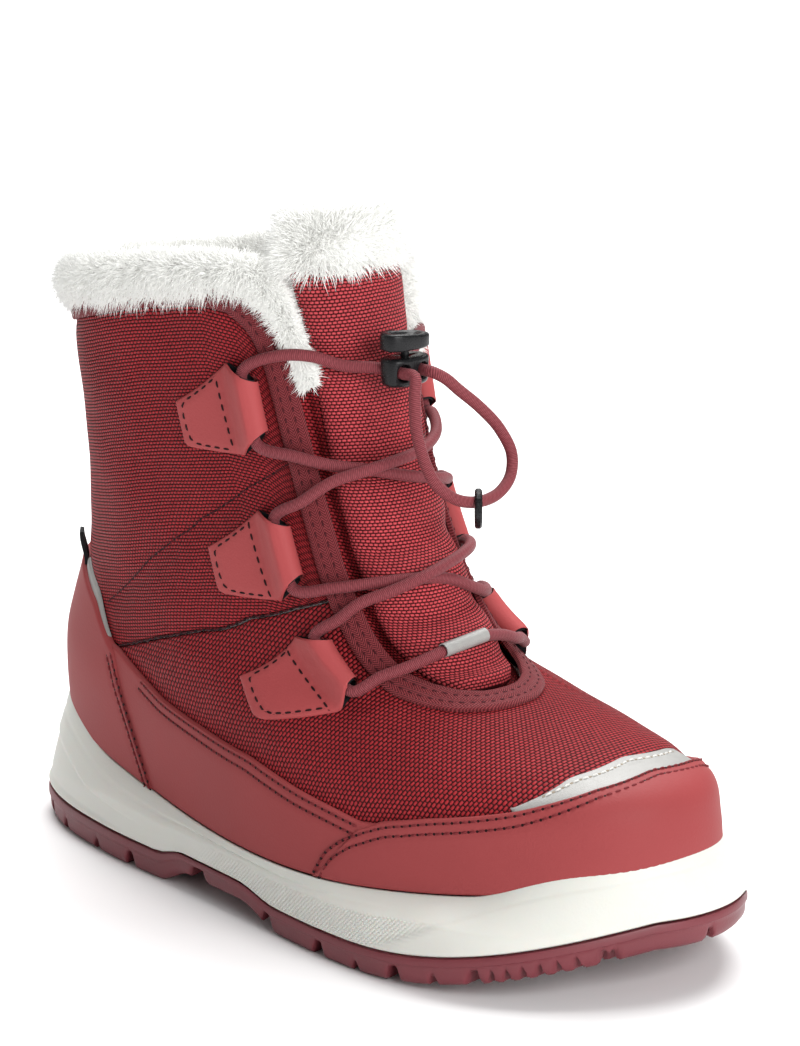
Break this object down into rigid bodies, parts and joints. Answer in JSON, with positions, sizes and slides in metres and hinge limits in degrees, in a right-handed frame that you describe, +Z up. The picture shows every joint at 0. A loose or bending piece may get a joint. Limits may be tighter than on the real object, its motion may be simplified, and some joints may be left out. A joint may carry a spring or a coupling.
{
  "type": "winter boot",
  "caption": "Child's lined winter boot with a woven shaft, coated foot panels, pile collar and elastic quick-lacing with a sprung cord lock.",
  "frame": {"origin": "on the ground, under the middle of the boot's box", "axes": "+X to the toe, -Y to the outer (lateral) side, +Z up"},
  "size_m": [0.2123, 0.09, 0.1631],
  "materials": {
    "tread_rubber": "moulded rubber with a satin surface",
    "midsole_foam": "moulded foam rubber, matt with satin ridges",
    "board": "felted fibre board",
    "lining_pile": "short warm pile",
    "stiffener": "thermoformed sheet",
    "upper_textile": "basket weave with a light sheen",
    "coated_overlay": "fine matt grain",
    "reflective": "reflective film",
    "label": "blank woven side tag",
    "tape": "herringbone binding tape",
    "pile": "long soft pile",
    "cord": "braided elastic cord",
    "lock_plastic": "moulded with a satin gloss",
    "spring_steel": "drawn wire"
  },
  "bodies": {
    "root": {"outsole": "tread_rubber", "midsole": "midsole_foam", "strobel_board": "board", "footbed": "lining_pile", "heel_stiffener": "stiffener", "toe_puff": "stiffener", "vamp_lining": "lining_pile", "quarter_lining": "lining_pile", "vamp": "upper_textile", "quarter_lateral": "upper_textile", "quarter_medial": "upper_textile", "mudguard_lateral": "coated_overlay", "mudguard_medial": "coated_overlay", "toe_cap": "coated_overlay", "heel_counter": "coated_overlay", "toe_reflective_strip": "reflective", "heel_reflective_trim": "reflective", "heel_tag": "label", "throat_binding": "tape", "collar_binding": "tape", "collar_fur": "pile", "tongue_gusset_lateral": "upper_textile", "tongue_gusset_medial": "upper_textile", "lace_loop_lateral_1": "coated_overlay", "lace_loop_lateral_2": "coated_overlay", "lace_loop_lateral_3": "coated_overlay", "lace_loop_medial_1": "coated_overlay", "lace_loop_medial_2": "coated_overlay", "lace_loop_medial_3": "coated_overlay", "bungee_lacing": "cord"},
    "tongue": {"tongue": "upper_textile", "tongue_fur": "pile", "bungee_loop": "cord", "lace_sleeve": "reflective"},
    "lock": {"cord_lock_body": "lock_plastic", "lock_spring": "spring_steel"},
    "button": {"lock_button": "lock_plastic"},
    "ring": {"pull_ring": "lock_plastic"}
  },
  "joints": [
    {"name": "tongue_tilt", "type": "hinge", "parent": "root", "child": "tongue", "pos_m": [0.0476, -0.0014, 0.0575], "axis": [0, 1, 0], "range_deg": [0, 15], "deforming": ["bungee_lacing", "tongue_gusset_lateral", "tongue_gusset_medial"]},
    {"name": "lock_slide", "type": "slide", "parent": "tongue", "child": "lock", "axis": [1, 0, 0], "range_m": [0, 0.003], "deforming": ["bungee_loop", "bungee_lacing"]},
    {"name": "button_press", "type": "slide", "parent": "lock", "child": "button", "axis": [0, 0, -1], "range_m": [0, 0.0014], "stiffness_N_per_m": 150, "springref_m": -0.002, "deforming": ["lock_spring"]},
    {"name": "ring_swing", "type": "hinge", "parent": "tongue", "child": "ring", "pos_m": [0.0344, 0.0026, 0.1014], "axis": [0.6822, 0.7312, 0], "range_deg": [-35, 35]}
  ]
}
